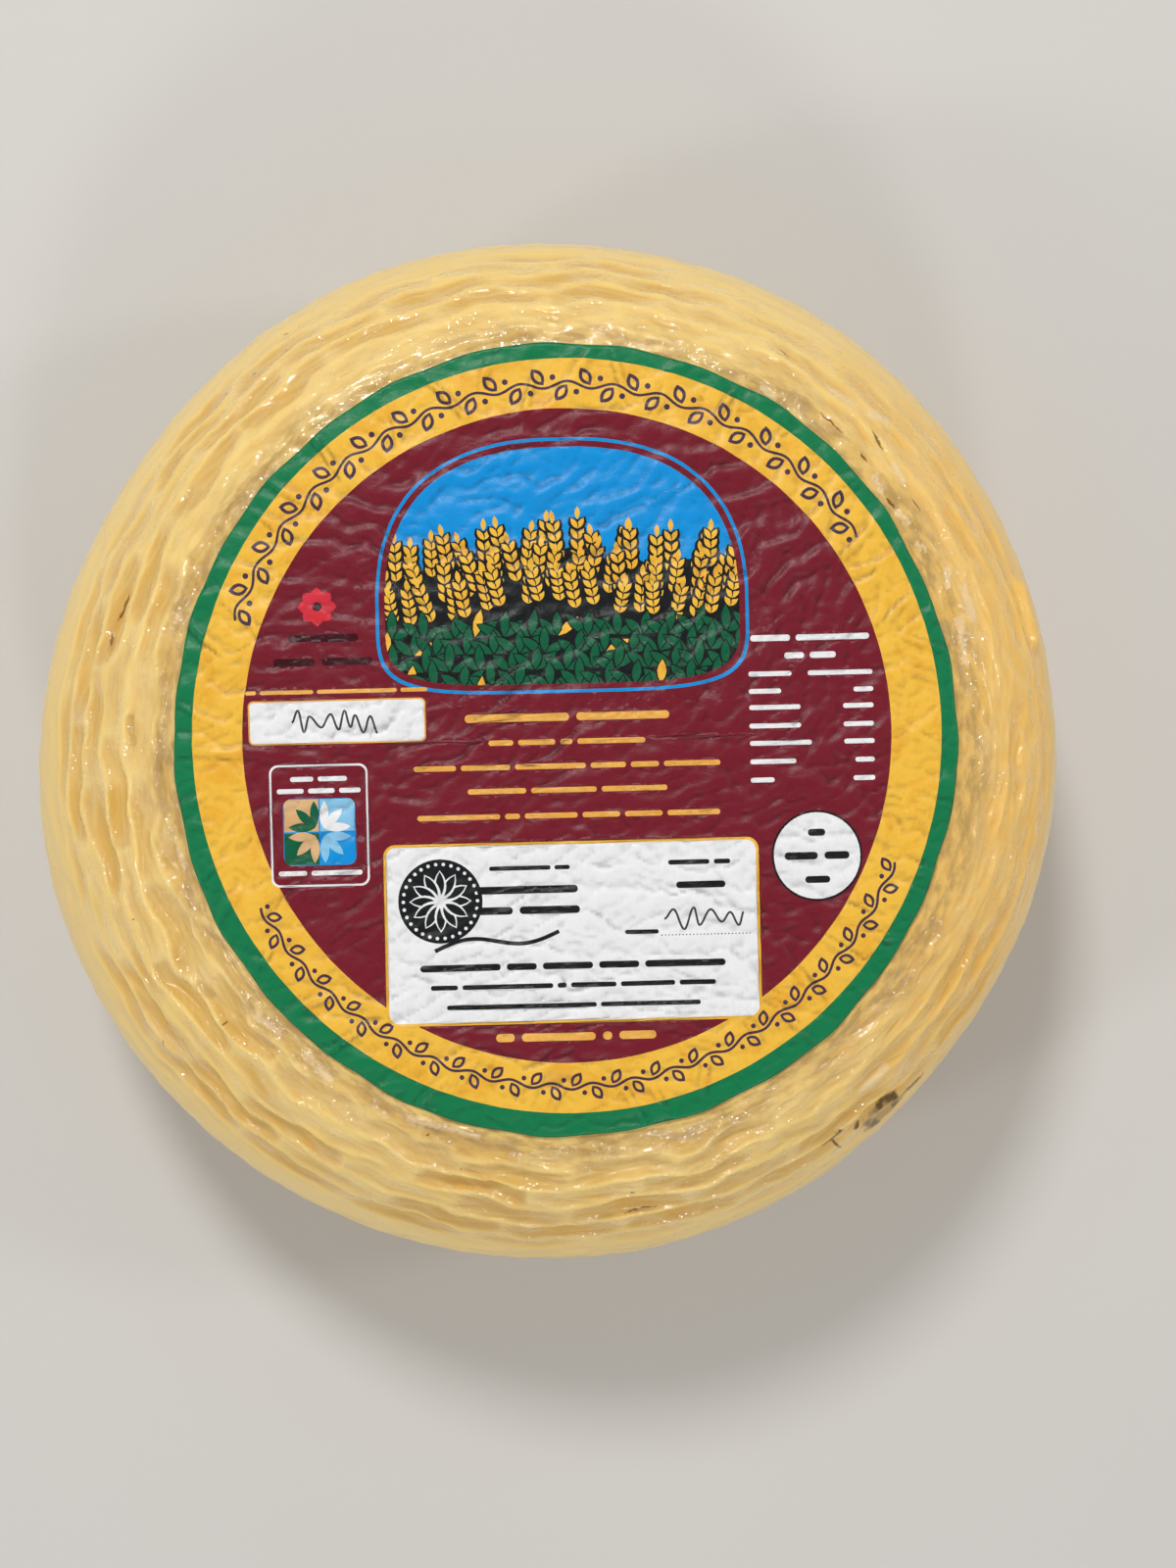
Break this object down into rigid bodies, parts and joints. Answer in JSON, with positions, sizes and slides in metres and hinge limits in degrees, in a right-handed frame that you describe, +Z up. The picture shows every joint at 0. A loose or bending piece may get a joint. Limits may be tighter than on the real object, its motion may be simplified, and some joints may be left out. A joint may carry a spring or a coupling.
{
  "type": "cheese wheel",
  "caption": "Whole round wheel of basket-formed hard cheese, bulged sides with woven ridges, flat faces, round paper label on top.",
  "frame": {"origin": "on the surface that the wheel rests on, under the middle of its outline", "axes": "+Z up through the wheel's height; +Y towards the top of the label's print"},
  "size_m": [0.2052, 0.2042, 0.0854],
  "materials": {
    "rind": "smooth oiled straw-coloured cheese rind, glossy, darker tan in the grooves",
    "label_paper": "printed paper, satin, creased, green rim, yellow band and maroon middle"
  },
  "bodies": {
    "root": {"cheese_wheel": "rind", "paper_label": "label_paper"}
  },
  "joints": []
}
